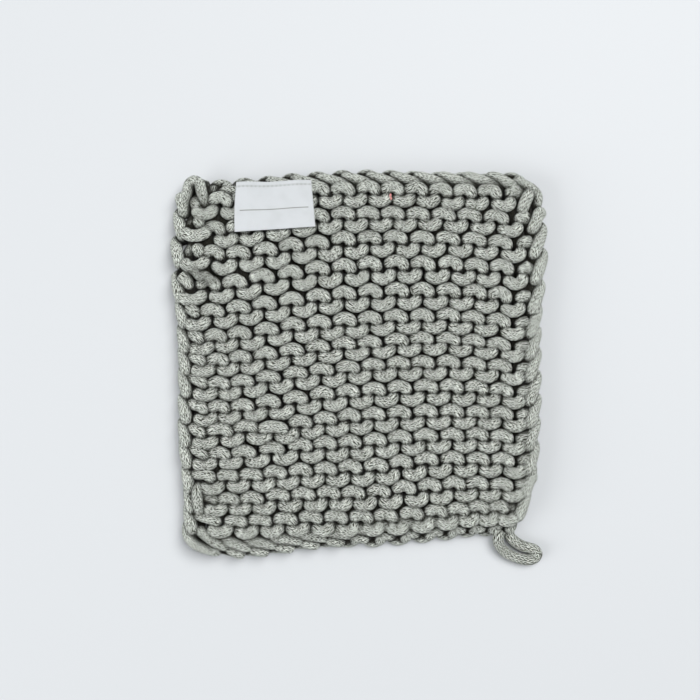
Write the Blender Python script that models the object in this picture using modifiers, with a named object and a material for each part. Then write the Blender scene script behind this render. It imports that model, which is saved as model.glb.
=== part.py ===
"""A square pot holder, knitted in garter stitch from a thick cotton cord.

It lies flat on a table with its face up. A loop of the same cord hangs out at the lower right
corner, and a small white label is sewn on at the top left.

X runs along the ridges to the right, Y up the knitting and Z up from the table. The origin is on
the table under the middle of the knitted square. Lengths are in metres.
"""

import math

import bmesh
import bpy
import numpy as np
from mathutils import Vector
from mathutils.geometry import interpolate_bezier

MM = 0.001

# The knitting
CORD = 5.5 * MM
STITCHES = 14
RIDGES = 14
STITCH_WIDTH = 14.0 * MM
RIDGE_PITCH = 13.5 * MM
THICKNESS = 14.9 * MM
ARCH_HALF_WIDTH = 0.70 * CORD
ARCH_RISE = 0.72 * CORD
LEG_DIP = (0.6 * MM, 3.0 * MM)
VALLEY_HEIGHT = 9.0 * MM
CORE_HEIGHT = 12.2 * MM

# How the face is divided: places across one stitch, and places down from a ridge's middle line
ACROSS_A_STITCH = (0.1, 0.3, 0.5, 0.7, 0.9)
DOWN_A_RIDGE = (-0.29, 0.0, 0.29, 0.5)
ARCH_REACH = 0.3
ARCH_FOOT = 0.6
VALLEY_WAVE = 0.04
EDGE_MARGIN = 0.008

# The four edges
TOP_CROWN = 0.30
BOTTOM_CROWN = RIDGES + 0.72
CROWN_HEIGHTS = {TOP_CROWN: 12.4 * MM, BOTTOM_CROWN: 11.2 * MM}
CROWN_RIPPLE = 1.2 * MM
RIM_HEIGHT = 8.0 * MM
RIM_FOOT = 2.0 * MM
UNDERSIDE_INSET = 0.02
SIDE_BULGE = 0.8 * MM
END_BULGE = 0.5 * MM

# Where each ridge's middle line runs, in millimetres, from the bound-off edge down to the cast-on
# edge: the ends in X, then Y at five stations from the left end to the right end.
STATIONS = (0.0, 0.16, 0.52, 0.88, 1.0)
RIDGE_LINES = (
    # left, right, y at the five stations
    (-93.0, 92.0, 94.5, 97.0, 104.0, 103.5, 96.0),
    (-99.0, 99.5, 84.5, 85.5, 91.0, 90.0, 88.5),
    (-101.0, 101.0, 69.0, 69.5, 78.0, 76.0, 74.5),
    (-102.0, 101.5, 55.0, 57.5, 65.5, 62.5, 61.5),
    (-101.5, 102.0, 38.5, 42.5, 51.0, 48.0, 47.0),
    (-100.5, 101.0, 25.0, 27.5, 36.0, 33.5, 32.0),
    (-99.5, 99.5, 12.0, 13.5, 23.0, 20.0, 18.5),
    (-99.0, 98.5, -0.5, 1.0, 10.0, 7.0, 6.0),
    (-98.5, 98.5, -12.5, -11.0, -3.0, -5.0, -6.0),
    (-98.0, 98.5, -25.5, -24.5, -16.0, -18.0, -19.0),
    (-98.0, 98.5, -39.5, -39.0, -29.0, -29.5, -30.5),
    (-97.5, 98.0, -52.0, -51.0, -43.5, -42.0, -42.0),
    (-96.5, 97.5, -63.5, -61.5, -57.5, -53.5, -53.0),
    (-95.0, 96.5, -76.0, -74.0, -72.0, -66.5, -66.0),
    (-95.0, 94.5, -89.5, -87.5, -85.0, -79.0, -78.0),
    (-93.5, 91.0, -100.0, -104.0, -99.0, -90.5, -84.5),
)

# The hanging loop's middle line, in millimetres, from its root round its tip and back
LOOP_CORD = 6.0 * MM
LOOP_SAMPLES = 2
LOOP_ROUTE = (
    # x, y, z
    (76.9, -90.6, 7.2),
    (76.0, -94.0, 7.0),
    (76.0, -96.4, 6.2),
    (76.6, -99.0, 5.1),
    (78.2, -101.8, 4.1),
    (80.9, -104.2, 3.4),
    (84.6, -106.1, 3.1),
    (88.9, -107.5, 3.05),
    (93.0, -108.1, 3.05),
    (96.3, -107.1, 3.05),
    (97.8, -104.8, 3.05),
    (96.1, -102.4, 3.05),
    (92.8, -101.4, 3.05),
    (89.0, -100.1, 3.05),
    (85.5, -97.9, 3.05),
    (82.9, -95.2, 3.05),
    (82.2, -92.4, 3.05),
    (80.9, -88.4, 3.05),
)

# The sewn-on label
LABEL_CORNERS = {
    "top_left": (-67.2, 98.0),
    "top_right": (-26.2, 98.6),
    "bottom_right": (-23.6, 73.2),
    "bottom_left": (-67.6, 71.2),
}
LABEL_THICKNESS = 1.0 * MM
LABEL_HEIGHT = THICKNESS + 0.3 * MM
LABEL_LIFT = 1.4 * MM
LABEL_CELLS = (12, 8)

CORD_COLOUR = (0.45, 0.475, 0.43)
LABEL_COLOUR = (0.82, 0.83, 0.83)


def remove_old_objects():
    """Empty the scene."""
    for old in list(bpy.data.objects):
        bpy.data.objects.remove(old, do_unlink=True)


def make_collection(name):
    """Make the collection that holds the pot holder's pieces."""
    collection = bpy.data.collections.new(name)
    bpy.context.scene.collection.children.link(collection)
    return collection


def make_material(name, colour, roughness):
    """Make a plain cloth material."""
    material = bpy.data.materials.new(name)
    material.use_nodes = True
    shader = material.node_tree.nodes["Principled BSDF"]
    shader.inputs["Base Color"].default_value = (*colour, 1.0)
    shader.inputs["Roughness"].default_value = roughness
    shader.inputs["Metallic"].default_value = 0.0
    return material


def add_mesh_object(name, bm, material, collection):
    """Turn a finished bmesh into a named object."""
    mesh = bpy.data.meshes.new(name)
    bm.to_mesh(mesh)
    bm.free()
    mesh.materials.append(material)
    thing = bpy.data.objects.new(name, mesh)
    collection.objects.link(thing)
    return thing


def places_across():
    """Places across the square, from 0 at the left rim to 1 at the right rim."""
    inner = 1.0 - 2.0 * EDGE_MARGIN
    columns = [(c + a) / STITCHES for c in range(STITCHES) for a in ACROSS_A_STITCH]
    return [0.0] + [EDGE_MARGIN + inner * c for c in columns] + [1.0]


def places_down():
    """Places down the square, counted in ridges: 0 at the top rim, 1 to 14 on the ridges."""
    ridges = [r + d for r in range(1, RIDGES + 1) for d in DOWN_A_RIDGE]
    return [0.0, TOP_CROWN, 0.5, *ridges, BOTTOM_CROWN, RIDGES + 1.0]


def smooth_line(places, heights):
    """Read heights off one smooth line through its stations, which never overshoots them.

    Each station's slope is the harmonic mean of the rises beside it, or none at a crest. Between
    two stations the line eases from the tangent of one to the tangent of the other.
    """
    stations = np.array(STATIONS)
    rises = np.diff(heights) / np.diff(stations)
    product = rises[:-1] * rises[1:]
    inner = np.zeros(len(product))
    np.divide(2.0 * product, rises[:-1] + rises[1:], out=inner, where=product > 0.0)
    slopes = np.concatenate([rises[:1], inner, rises[-1:]])
    span = np.clip(np.searchsorted(stations, places) - 1, 0, len(stations) - 2)
    width = stations[span + 1] - stations[span]
    t = (places - stations[span]) / width
    start = heights[span] + t * width * slopes[span]
    end = heights[span + 1] - (1.0 - t) * width * slopes[span + 1]
    ease = t * t * (3.0 - 2.0 * t)
    return start + (end - start) * ease


def stitch_phase(across):
    """Place in its own stitch, from 0 to 1, of a place across the whole square."""
    return (across - EDGE_MARGIN) / (1.0 - 2.0 * EDGE_MARGIN) * STITCHES % 1.0


def follow_arches(across, down):
    """Slide a place on a row up or down, so that the row runs along the crowns of its arches.

    Heads are centred in a stitch and bows between two stitches. A valley's row weaves between the
    bows above it and the heads below it.
    """
    ridge = round(down)
    offset = down - ridge
    if not 1 <= ridge <= RIDGES or abs(offset) < 0.1 or down == BOTTOM_CROWN:
        return down
    phase = stitch_phase(across)
    from_bow = min(phase, 1.0 - phase)
    if abs(offset) > 0.4:
        return down + VALLEY_WAVE * math.cos(math.tau * phase)
    reach = (0.5 - from_bow if offset < 0.0 else from_bow) / ARCH_REACH
    crown = max(math.sqrt(max(1.0 - reach * reach, 0.0)), ARCH_FOOT)
    return ridge + offset * (crown if reach < 1.1 else 1.0)


def arch_height(x, y, centre, upward):
    """Top of one stitch arch over a place: half an ellipse of cord, its right leg nearer the face.

    upward is 1 for a stitch's head, which arches up, and -1 for the bow between two stitches.
    """
    turn = np.linspace(0.0, math.pi, 13)
    axis_x = centre + ARCH_HALF_WIDTH * np.cos(turn)
    axis_y = upward * ARCH_RISE * np.sin(turn)
    dip = np.where(np.cos(turn) > 0.0, LEG_DIP[0], LEG_DIP[1]) * np.cos(turn) ** 2
    axis_z = THICKNESS - CORD / 2 - dip
    spread = (CORD / 2) ** 2 - (x - axis_x) ** 2 - (y - axis_y) ** 2
    tops = np.where(spread > 0.0, axis_z + np.sqrt(np.maximum(spread, 0.0)), 0.0)
    return tops.max()


def stitch_height(across, down):
    """Height of the face at a place in a stitch (0 to 1) and off its ridge's line (-0.5 to 0.5)."""
    x = (across - 0.5) * STITCH_WIDTH
    y = -down * RIDGE_PITCH
    heads = [arch_height(x, y, c * STITCH_WIDTH, 1) for c in (-1, 0, 1)]
    bows = [arch_height(x, y, (c + 0.5) * STITCH_WIDTH, -1) for c in (-1, 0)]
    fall = min(abs(y) / (0.9 * CORD), 1.0)
    core = CORE_HEIGHT + (VALLEY_HEIGHT - CORE_HEIGHT) * fall * fall
    return max(heads + bows + [core])


def face_height(across, down):
    """Height of the face at any place: a rim, a chained edge or a ridge of stitches."""
    phase = stitch_phase(across)
    if across in (0.0, 1.0) or down in (0.0, RIDGES + 1.0):
        return RIM_HEIGHT
    if down <= 0.5 and down != TOP_CROWN:
        return VALLEY_HEIGHT
    if down in CROWN_HEIGHTS:
        return CROWN_HEIGHTS[down] + CROWN_RIPPLE * math.cos(math.tau * phase)
    return stitch_height(phase, down - round(down))


def rim_bulge(across, down):
    """How far a rim place stands out, once for each ridge at the sides and each stitch elsewhere."""
    side = {0.0: -1.0, 1.0: 1.0}.get(across, 0.0)
    end = {0.0: 1.0, RIDGES + 1.0: -1.0}.get(down, 0.0)
    x = side * SIDE_BULGE * math.cos(math.tau * down)
    y = end * END_BULGE * math.cos(math.tau * across * STITCHES)
    return x, y


def drop_rim(bm):
    """Carry the grid's edge down to the table and close it with a flat underside."""
    edges = [edge for edge in bm.edges if edge.is_boundary]
    for height, inset in ((RIM_FOOT, 0.0), (0.0, UNDERSIDE_INSET)):
        grown = bmesh.ops.extrude_edge_only(bm, edges=edges)["geom"]
        edges = [item for item in grown if isinstance(item, bmesh.types.BMEdge)]
        for vert in {vert for edge in edges for vert in edge.verts}:
            vert.co = (vert.co.x * (1.0 - inset), vert.co.y * (1.0 - inset), height)
    bmesh.ops.edgeloop_fill(bm, edges=edges)


def make_knitted_square(material, collection):
    """Knit the square: a grid with its points raised under each stitch, a rim and an underside.

    Each ridge line runs smoothly through its five stations; between two lines the places are
    shared out evenly.
    """
    across = places_across()
    down = places_down()
    table = np.array(RIDGE_LINES) * MM
    lines = np.arange(len(table))
    heights = np.array([smooth_line(np.array(across), line) for line in table[:, 2:]])
    bm = bmesh.new()
    columns = len(across) - 1
    rows = len(down) - 1
    bmesh.ops.create_grid(bm, x_segments=columns, y_segments=rows, size=0.5)
    for vert in bm.verts:
        column = round((vert.co.x + 0.5) * columns)
        a = across[column]
        d = follow_arches(a, down[round((0.5 - vert.co.y) * rows)])
        left = np.interp(d, lines, table[:, 0])
        right = np.interp(d, lines, table[:, 1])
        bulge_x, bulge_y = rim_bulge(a, d)
        x = left + (right - left) * a + bulge_x
        y = np.interp(d, lines, heights[:, column]) + bulge_y
        vert.co = (x, y, face_height(a, d))
    drop_rim(bm)
    bmesh.ops.recalc_face_normals(bm, faces=bm.faces)
    return add_mesh_object("knitted_square", bm, material, collection)


def smooth_route(route, samples):
    """Read points off one smooth curve through the route's own points (a Catmull-Rom curve)."""
    places = [Vector(place) * MM for place in route]
    padded = [places[0] * 2 - places[1], *places, places[-1] * 2 - places[-2]]
    points = []
    for before, start, end, after in zip(padded, padded[1:], padded[2:], padded[3:]):
        handle_start = start + (end - before) / 6
        handle_end = end - (after - start) / 6
        points += interpolate_bezier(start, handle_start, handle_end, end, samples + 1)[:-1]
    return [*points, places[-1]]


def make_hanging_loop(material, collection):
    """Make the loop: a round tube along its route, on a poly spline."""
    points = smooth_route(LOOP_ROUTE, LOOP_SAMPLES)
    curve = bpy.data.curves.new("hanging_loop", "CURVE")
    curve.dimensions = "3D"
    curve.bevel_depth = LOOP_CORD / 2
    curve.bevel_resolution = 3
    curve.use_fill_caps = True
    spline = curve.splines.new("POLY")
    spline.points.add(len(points) - 1)
    for point, place in zip(spline.points, points):
        point.co = (*place, 1.0)
    curve.materials.append(material)
    loop = bpy.data.objects.new("hanging_loop", curve)
    collection.objects.link(loop)
    return loop


def make_sewn_label(material, collection):
    """Make the label: a thin sheet between its four corners, its lower edge a little lifted."""
    corner = {name: Vector(place) * MM for name, place in LABEL_CORNERS.items()}
    bm = bmesh.new()
    bmesh.ops.create_grid(bm, x_segments=LABEL_CELLS[0], y_segments=LABEL_CELLS[1], size=0.5)
    for vert in bm.verts:
        across = vert.co.x + 0.5
        down = 0.5 - vert.co.y
        top = corner["top_left"].lerp(corner["top_right"], across)
        bottom = corner["bottom_left"].lerp(corner["bottom_right"], across)
        place = top.lerp(bottom, down)
        vert.co = (place.x, place.y, LABEL_HEIGHT + LABEL_LIFT * down ** 3)
    label = add_mesh_object("sewn_label", bm, material, collection)
    sheet = label.modifiers.new("Thickness", "SOLIDIFY")
    sheet.thickness = LABEL_THICKNESS
    sheet.offset = 1.0
    return label


def build():
    """Make the pot holder."""
    remove_old_objects()
    collection = make_collection("Pot_holder")
    cord = make_material("Cotton_cord", CORD_COLOUR, 0.9)
    loop_cord = make_material("Loop_cord", CORD_COLOUR, 0.9)
    satin = make_material("White_satin", LABEL_COLOUR, 0.55)
    make_knitted_square(cord, collection)
    make_hanging_loop(loop_cord, collection)
    make_sewn_label(satin, collection)


build()
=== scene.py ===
"""The looks of a knitted pot holder: every turn of its cord, its hanging loop and its sewn label.

The body is one long cord. Each row is a wave that climbs over the row below and dives under it,
so that two rows make a ridge on the face and the next two a ridge on the back. The rows lie on a
slightly uneven net of ridges and arches, which follows the real pot holder's own unevenness.
Lengths are in millimetres until a mesh is made, and in metres there.
"""
import math

import bpy
import numpy as np
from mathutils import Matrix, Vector


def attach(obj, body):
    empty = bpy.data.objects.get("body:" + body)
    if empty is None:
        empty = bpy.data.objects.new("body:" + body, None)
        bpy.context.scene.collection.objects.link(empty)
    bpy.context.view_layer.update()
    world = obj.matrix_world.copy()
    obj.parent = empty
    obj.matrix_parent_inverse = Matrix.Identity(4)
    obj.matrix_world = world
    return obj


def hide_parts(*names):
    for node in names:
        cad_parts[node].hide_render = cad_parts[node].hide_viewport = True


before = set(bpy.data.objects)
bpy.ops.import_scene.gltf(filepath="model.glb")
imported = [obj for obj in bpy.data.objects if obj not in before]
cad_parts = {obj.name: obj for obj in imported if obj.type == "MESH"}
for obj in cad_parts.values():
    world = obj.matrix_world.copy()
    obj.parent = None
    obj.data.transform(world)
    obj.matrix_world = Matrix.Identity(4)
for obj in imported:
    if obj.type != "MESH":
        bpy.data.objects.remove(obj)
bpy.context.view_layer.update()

MM = 0.001

# The camera looks straight down: its distance above the knitting, and what it takes in there
LOOK_AT = (-4.9, 7.1, 11.0)
CAMERA_DISTANCE = 620.0
FIELD_WIDTH = 379.4

# The knitting: the ridges on its face, its rows, and the stitches of a row
RIDGES = 14
ROWS = 2 * RIDGES
STITCHES = 14

# The wave of a row: the cord, the height of its middle over the table, how far a turn climbs or
# dives from there, how far it stands past its ridge's middle at least and at most, and how far two
# ridges overlap
CORD_RADIUS = 3.4
MID_HEIGHT = 7.5
WAVE_DEPTH = 5.2
LEAST_RISE = 2.4
MOST_RISE = 5.3
RIDGE_OVERLAP = 2.0

# The legs of a turn: how far they spread, between which cosines a turn dives, each with what the
# lean of a right leg takes off, and how far a right leg stands over the leg beside it
LEG_SPREAD = 2.3
DIVE_FROM = (0.86, 0.07)
DIVE_TO = (0.55, 0.10)
LEG_OVERLAP = 0.9

# The knitting is pressed flat: from how far off the middle height on, and what share is left
PRESSED_FROM = 5.5
PRESSED_SHARE = 0.54

# The hand's unevenness: how far a turn is usually shifted, how much of that counts in height, and
# the seed of the draws
UNEVENNESS = 0.25
UNEVEN_HEIGHT = 0.4
SEED = 7

# How finely the lines and surfaces are drawn
PLACES_A_STITCH = 24
PLACES_A_LINK = 20
ROW_FINER = 3
CHAIN_FINER = 2
LOOP_FINER = 6
ROUTE_FINER = 8
RING_GAP = 0.85
CORD_SIDES = 14
LOOP_SIDES = 20

# Where the ridges of the face run, from the bound-off edge down. Across: the left side, the middles
# of arches 1, 2, 5, 8, 11 and 14, and the right side. Up: the ridge's middle at the same arches.
ARCHES = np.array([0.5, 1.5, 4.5, 7.5, 10.5, 13.5])
LEFT_SIDE = 0
ACROSS = slice(1, 7)
RIGHT_SIDE = 7
UP = slice(8, 14)
RIDGE_PLACES = np.array([
    # left, arch 1, 2, 5, 8, 11, 14, right; then the heights at arch 1, 2, 5, 8, 11, 14
    (-99.5, -88.0, -75.5, -36.5, 4.5, 43.5, 83.5, 99.5, 86.0, 85.5, 89.0, 91.0, 90.0, 89.0),
    (-100.5, -91.5, -79.0, -37.0, 4.5, 45.0, 88.5, 101.0, 72.5, 70.0, 74.5, 78.0, 77.5, 75.0),
    (-102.0, -91.5, -79.0, -37.0, 5.0, 47.5, 89.5, 101.5, 57.5, 56.5, 60.0, 64.5, 64.5, 61.5),
    (-101.5, -95.0, -82.0, -37.5, 5.5, 49.0, 90.0, 102.0, 38.5, 38.5, 45.5, 50.0, 50.0, 47.5),
    (-99.5, -92.0, -79.5, -37.0, 5.5, 48.0, 89.0, 100.5, 24.5, 25.5, 31.0, 35.0, 36.0, 31.0),
    (-98.5, -89.0, -78.0, -36.0, 5.5, 47.5, 89.0, 99.0, 10.5, 11.0, 17.5, 21.0, 22.5, 18.0),
    (-98.0, -87.5, -77.0, -37.0, 5.5, 47.5, 88.5, 98.5, -1.5, -1.0, 3.5, 8.5, 10.5, 6.0),
    (-98.0, -86.5, -76.0, -35.0, 7.0, 48.0, 89.0, 98.5, -13.0, -13.5, -8.0, -3.5, -2.5, -5.5),
    (-98.0, -86.0, -76.0, -34.5, 7.5, 49.5, 89.5, 98.5, -27.5, -27.0, -22.0, -17.0, -16.0, -18.5),
    (-98.0, -87.5, -75.5, -32.5, 7.5, 50.0, 89.5, 98.5, -40.5, -39.5, -34.5, -30.5, -29.0, -31.0),
    (-97.5, -86.5, -76.0, -32.5, 7.5, 50.0, 89.0, 98.0, -51.5, -52.0, -47.5, -44.5, -41.5, -43.0),
    (-96.0, -83.5, -71.5, -32.0, 8.5, 50.5, 90.0, 97.5, -65.5, -64.0, -61.0, -58.5, -54.5, -56.5),
    (-95.0, -81.0, -70.5, -30.5, 10.0, 51.0, 88.5, 96.0, -76.5, -76.5, -74.0, -72.0, -68.5, -68.5),
    (-95.0, -79.0, -67.0, -26.5, 14.0, 53.5, 84.0, 93.0, -87.5, -88.0, -86.5, -86.0, -82.0, -80.5),
])[::-1]
# One more ridge is thought of below the first and above the last: how far off it lies, and what
# share of the last step across the first one goes on by
BELOW_FIRST_RIDGE = 12.0
ABOVE_LAST_RIDGE = 12.5
GOES_ON_BY = 0.3

# How the cord turns at each side, in the order in which it runs: how far in from the side, how far
# above the middle of the ridge, and how high over the table
LEFT_TURN = (
    (8.4, 5.2, 10.6),
    (7.2, 5.0, 7.2),
    (5.6, 2.8, 4.6),
    (4.8, -1.6, 3.8),
    (5.2, -4.0, 6.2),
    (4.8, -3.0, 9.8),
    (4.0, 0.0, 11.2),
    (3.2, 3.2, 10.2),
    (2.6, 6.2, 7.6),
    (2.4, 8.8, 4.8),
    (5.2, 10.0, 3.6),
)
RIGHT_TURN = (
    (8.2, 1.4, 6.6),
    (7.8, -1.6, 7.8),
    (7.0, -2.6, 10.2),
    (6.2, -0.8, 12.4),
    (5.0, 2.4, 12.6),
    (3.7, 6.0, 11.0),
    (2.4, 10.0, 8.6),
    (2.6, 12.4, 6.0),
    (5.0, 12.0, 3.6),
    (8.6, 10.6, 4.0),
)
TOP_RIGHT_TURN = (
    (11.6, -1.8, 7.6),
    (11.6, -5.4, 9.0),
    (10.8, -5.0, 11.6),
    (9.8, -2.0, 12.8),
    (8.5, 0.8, 12.6),
    (7.6, 2.6, 10.6),
    (7.6, 3.2, 7.2),
    (8.2, 2.6, 4.6),
)
# The ridges, counted from the top, whose left turn starts further in, and how it starts there
SHORT_STUBS = (1, 2, 3)
SHORT_STUB = (
    (14.0, 3.6, 9.0),
    (12.0, 2.0, 4.4),
    (8.0, 0.0, 3.4),
)
# The turns that are held down: how far above the middle of their ridge they reach at most
HIGHEST_TURN = {("left", 1): 3.5, ("right", 2): 6.5}
# Between which stitches a row keeps its own wave, where its low turns are on the face or the back
ROW_REACH = {"face": (0.5, 13.75), "back": (0.5, 13.52)}
# The rows at which one piece of the body ends, and the point of the left turn at which it does
BANDS = (0, 7, 15, 21, ROWS)
HIDDEN_PLACE = 3

# Stitches that the maker drew wider, tighter or aslant: whether it is a ridge's upper arch or lower
# cup, its place along the ridge, and how far it goes to the right, up, outwards to both sides and
# towards the viewer. The odd ones have their ridge, counted from the top, in front of that.
EVERY_RIDGE = (
    ("arch", 0.5, -1.2, 0.4, 0.0, -0.4),
    ("cup", 1.0, -2.2, 0.0, 1.0, 0.0),
    ("cup", 13.0, 0.9, 0.0, 0.3, 0.0),
    ("arch", 13.5, 1.2, -0.4, -1.4, -1.2),
)
ODD_STITCHES = (
    (1, "arch", 0.5, -1.5, -4.0, -1.0, -1.8),
    (1, "arch", 1.5, 0.0, -1.4, 0.4, 0.0),
    (2, "arch", 0.5, 4.5, 0.0, -1.5, -1.0),
    (2, "cup", 1.0, -1.6, 2.4, 1.4, 1.3),
    (2, "arch", 1.5, 0.8, -1.0, -0.4, -1.6),
    (3, "arch", 0.5, 4.0, 0.0, -1.5, -1.0),
    (3, "cup", 1.0, -2.4, 0.2, 0.9, 1.0),
    (3, "arch", 1.5, 0.4, 0.0, -0.4, -1.2),
    (3, "cup", 2.0, -1.2, -1.2, 0.6, 0.2),
    (4, "arch", 0.5, -1.6, 2.8, 1.0, 0.6),
    (4, "arch", 1.5, 0.0, 1.0, 0.2, 0.2),
    (4, "cup", 1.0, 0.0, 0.0, 1.0, 0.0),
    (9, "cup", 4.0, 0.0, -1.0, 0.4, 0.0),
    (10, "arch", 1.5, 0.0, 1.0, 1.4, 0.8),
    (10, "arch", 2.5, 0.4, 0.8, 1.0, 0.2),
    (10, "arch", 3.5, 0.0, -1.4, 2.4, 2.0),
    (10, "cup", 3.0, 0.6, 0.6, 0.8, 0.4),
    (10, "cup", 4.0, 0.4, -1.4, 0.2, 0.6),
    (12, "arch", 0.5, -0.6, 1.0, 1.6, 0.8),
    (12, "arch", 1.5, 0.0, 0.4, -0.4, -0.4),
    (13, "arch", 0.5, 2.0, 0.0, -1.6, -1.4),
    (14, "arch", 0.5, -1.6, 0.0, 0.0, 0.0),
)

# The two finished edges are chains: each strand leans across one stitch and a bit more on the face,
# turns over the edge and comes back a little behind. Outlines run across and up.
CHAIN_SWING = 0.44
CHAIN_CORD_RADIUS = 3.05
CAST_ON_CORD_RADIUS = 3.25
TOP_OUTLINE = np.array([
    (-84.0, 92.5), (-76.0, 95.0), (-66.0, 98.3), (-58.0, 100.0), (-43.0, 102.0), (-15.0, 103.5),
    (10.0, 104.2), (76.0, 104.2), (84.0, 102.0), (92.0, 97.5),
])
BOTTOM_OUTLINE = np.array([
    (-92.0, -99.0), (-86.0, -102.0), (-78.0, -105.6), (-64.0, -106.8), (-48.0, -105.2), (-32.0, -102.6),
    (-10.0, -100.3), (6.0, -97.7), (22.0, -96.0), (38.5, -95.0), (49.0, -93.6), (71.0, -92.0),
    (84.0, -88.5),
])
EDGE_CHAINS = (
    # name, first and last place along the ridge, its row, outline, then how far inside it, how much
    # further it sways, how far up and down it goes, from which height, and to which side it leans
    ("top", 13.575, 1.575, 27, TOP_OUTLINE, 3.0, 5.6, 3.0, 8.2, 1),
    ("upper", 0.2, 13.2, 1, BOTTOM_OUTLINE, 6.8, 4.4, 2.8, 8.4, 1),
    ("lower", 0.2, 13.2, 1, BOTTOM_OUTLINE, 3.0, 2.8, 2.4, 6.8, -1),
)

# Short lengths of cord that show past the rows: at the top left corner and at the top right one
TOP_LEFT_ROUTE = (
    (-81.5, 82.0, 7.4),
    (-82.9, 86.4, 10.6),
    (-84.4, 90.2, 12.4),
    (-85.6, 94.0, 12.8),
    (-86.6, 97.2, 12.4),
    (-89.4, 98.6, 11.8),
    (-92.0, 96.6, 11.4),
    (-92.8, 93.0, 11.8),
    (-94.4, 87.6, 11.8),
    (-95.2, 83.0, 11.0),
    (-94.6, 79.0, 7.8),
)
TOP_RIGHT_ROUTE = (
    (80.0, 96.0, 6.0),
    (84.0, 97.4, 8.4),
    (87.2, 97.4, 9.4),
    (91.4, 95.8, 9.8),
    (95.2, 93.0, 9.8),
    (96.8, 90.0, 9.4),
    (96.4, 86.6, 8.4),
    (94.6, 84.2, 6.0),
)
# The cast-on cord's end, wound around the bottom left corner
BOTTOM_LEFT_ROUTE = (
    (-86.0, -65.0, 8.0),
    (-87.3, -68.8, 13.2),
    (-87.3, -74.0, 14.2),
    (-86.4, -79.0, 13.0),
    (-84.4, -82.0, 8.6),
    (-88.0, -84.0, 4.2),
    (-93.0, -88.0, 5.0),
    (-93.4, -91.4, 7.6),
    (-92.1, -95.0, 9.8),
    (-88.3, -98.6, 10.4),
    (-82.0, -101.0, 9.8),
    (-76.0, -102.8, 7.0),
)
# A thin frayed turn that shows between the third and fourth ridge at the left
FRAYED_ROUTE = (
    (-93.5, 51.0, 8.0),
    (-91.6, 50.2, 12.4),
    (-88.6, 49.6, 14.6),
    (-86.2, 47.0, 15.2),
    (-82.8, 47.2, 15.4),
    (-79.6, 44.4, 14.6),
    (-77.0, 43.0, 9.0),
)
# A turn that lies deep behind the lower left corner
INNER_ROUTE = (
    (-84.0, -80.0, 4.6),
    (-85.6, -84.0, 5.4),
    (-86.6, -88.0, 5.6),
    (-87.4, -93.0, 5.6),
    (-85.4, -97.0, 5.2),
    (-80.0, -98.0, 4.6),
)
# The route and the cord's radius of each of these
LOOSE_CORDS = {
    "top_left_corner": (TOP_LEFT_ROUTE, CHAIN_CORD_RADIUS),
    "top_right_corner": (TOP_RIGHT_ROUTE, CHAIN_CORD_RADIUS),
    "bottom_left_corner": (BOTTOM_LEFT_ROUTE, CHAIN_CORD_RADIUS),
    "frayed_turn": (FRAYED_ROUTE, 2.6),
    "inner_turn": (INNER_ROUTE, 2.9),
}

# The cord's own fine knitting: the columns around it, the length of a strand and how dark the
# painted shade in the gaps between strands is, in the body and in the loop, and how far a strand
# leans
CORD_COLUMNS = 10
CORD_LENGTH = 2.0
CORD_GAP_SHADE = 0.84
LOOP_COLUMNS = 8
LOOP_LENGTH = 2.6
LOOP_GAP_SHADE = 1.5
CORD_LEAN = 1.2
# How unevenly the strands run and widen, how round and how tucked in they are, and on which of
# them and how darkly painted shade is laid in the pit where a strand's end tucks in
STRAND_WOBBLE = 1.6
COLUMN_WOBBLE = 0.35
CROWN_POWER = 0.8
TUCK_POWER = 3.0
TUCK_DEPTH = 0.35
PITTED_STRANDS = (0.2, 0.8)
PIT_SHADE = 2.4
# The noises that vary the cord and the label's satin, in turns a metre
WOBBLE_NOISE = 260.0
STRAND_NOISE = 900.0
SPECK_NOISE = 1500.0
FIBRE_NOISE = 2600.0
SATIN_NOISE = 120.0
# A place's tone: what a crown has, how strands and fibres vary it, and what a dark speck takes off
CROWN_TONE = 0.78
STRAND_TONES = 0.16
FIBRE_TONES = 0.45
FIBRE_TAKEN = 0.175
SPECK_TONES = 0.52
# The colours of a cord's dark, middle and light tones, and the tones that have them
CORD_DARK = (0.035, 0.035, 0.022)
CORD_MIDDLE = (0.455, 0.49, 0.43)
CORD_LIGHT = (0.87, 0.91, 0.84)
DARK_TONE = 0.12
MIDDLE_TONE = 0.46
LIGHT_TONE = 0.72

# Painted shade for the shadow deep between the turns: its colour and most share, how far around
# a place the mean height is taken, between which depths below that the shade sets in, and the grid
# on which heights are kept
HOLLOW_SHADE_COLOUR = (0.009, 0.008, 0.004)
HOLLOW_SHADE_MOST = 0.985
HOLLOW_AROUND = 1.9
HOLLOW_DEPTH = (-0.75, 1.15)
GRID_CELL = 0.5
GRID_CELLS = 500

# The end of pink thread at the top ridge
FLECK_ROUTE = (
    (16.3, 91.6, 11.8),
    (17.0, 90.8, 13.2),
    (16.2, 89.8, 13.5),
    (17.3, 89.0, 13.5),
    (16.4, 88.0, 13.4),
    (17.2, 87.0, 11.4),
)
FLECK_RADIUS = 0.6
FLECK_RING_GAP = 0.25
FLECK_PINK = (0.70, 0.27, 0.25)

# The sewn label: its corners across and up, its size and the part folded under at its top edge,
# half the length of that bend, how many thicknesses lower the folded part lies, the label's height
# over the table and what its loose edge is lifted by. Down its face: where it is stitched, how deep
# the stitches sink and how long one is, and where its plain rule is and half of its length.
LABEL_CORNERS = {
    "top_left": (-66.1, 97.4),
    "top_right": (-25.8, 98.7),
    "bottom_left": (-66.9, 70.5),
    "bottom_right": (-23.5, 73.4),
}
LABEL_WIDTH = 42.0
LABEL_DROP = 26.5
LABEL_FOLD = 5.0
LABEL_BEND = 0.35
LABEL_UNDER = 2.4
LABEL_HEIGHT = 15.5
LABEL_LIFT = 1.3
LABEL_THICKNESS = 0.3
LABEL_STITCHES_DOWN = 2.5
LABEL_GROOVE = 0.2
LABEL_STITCH = 2.3
LABEL_RULE_DOWN = 15.3
LABEL_RULE_HALF = 18.0
THREADS_APART = (0.42, 0.36)
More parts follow.
